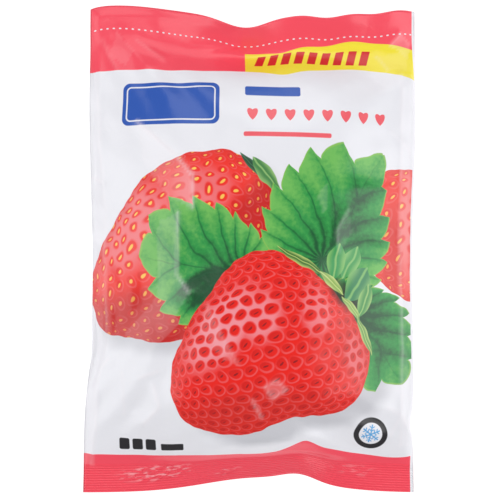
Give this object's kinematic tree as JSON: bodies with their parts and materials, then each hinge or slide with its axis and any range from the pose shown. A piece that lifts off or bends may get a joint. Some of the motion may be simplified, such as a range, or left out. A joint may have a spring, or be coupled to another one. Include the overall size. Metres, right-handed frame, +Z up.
{
  "type": "bag of frozen strawberries",
  "caption": "Sealed plastic pillow bag of frozen strawberries lying on its back, with a ribbed bottom seal and a flat header with a dotted tear line.",
  "frame": {"origin": "on the surface the bag rests on, under the middle of its outline", "axes": "+X across the bag to the right of its printed front, +Y to its top edge with the dotted tear line, +Z up out of the printed front"},
  "size_m": [0.2334, 0.3428, 0.0501],
  "materials": {
    "printed_film": "soft gloss printed polyethylene film, white with pink end bands, a yellow band and a picture of red berries with green leaves"
  },
  "bodies": {
    "root": {"bag": "printed_film"}
  },
  "joints": []
}
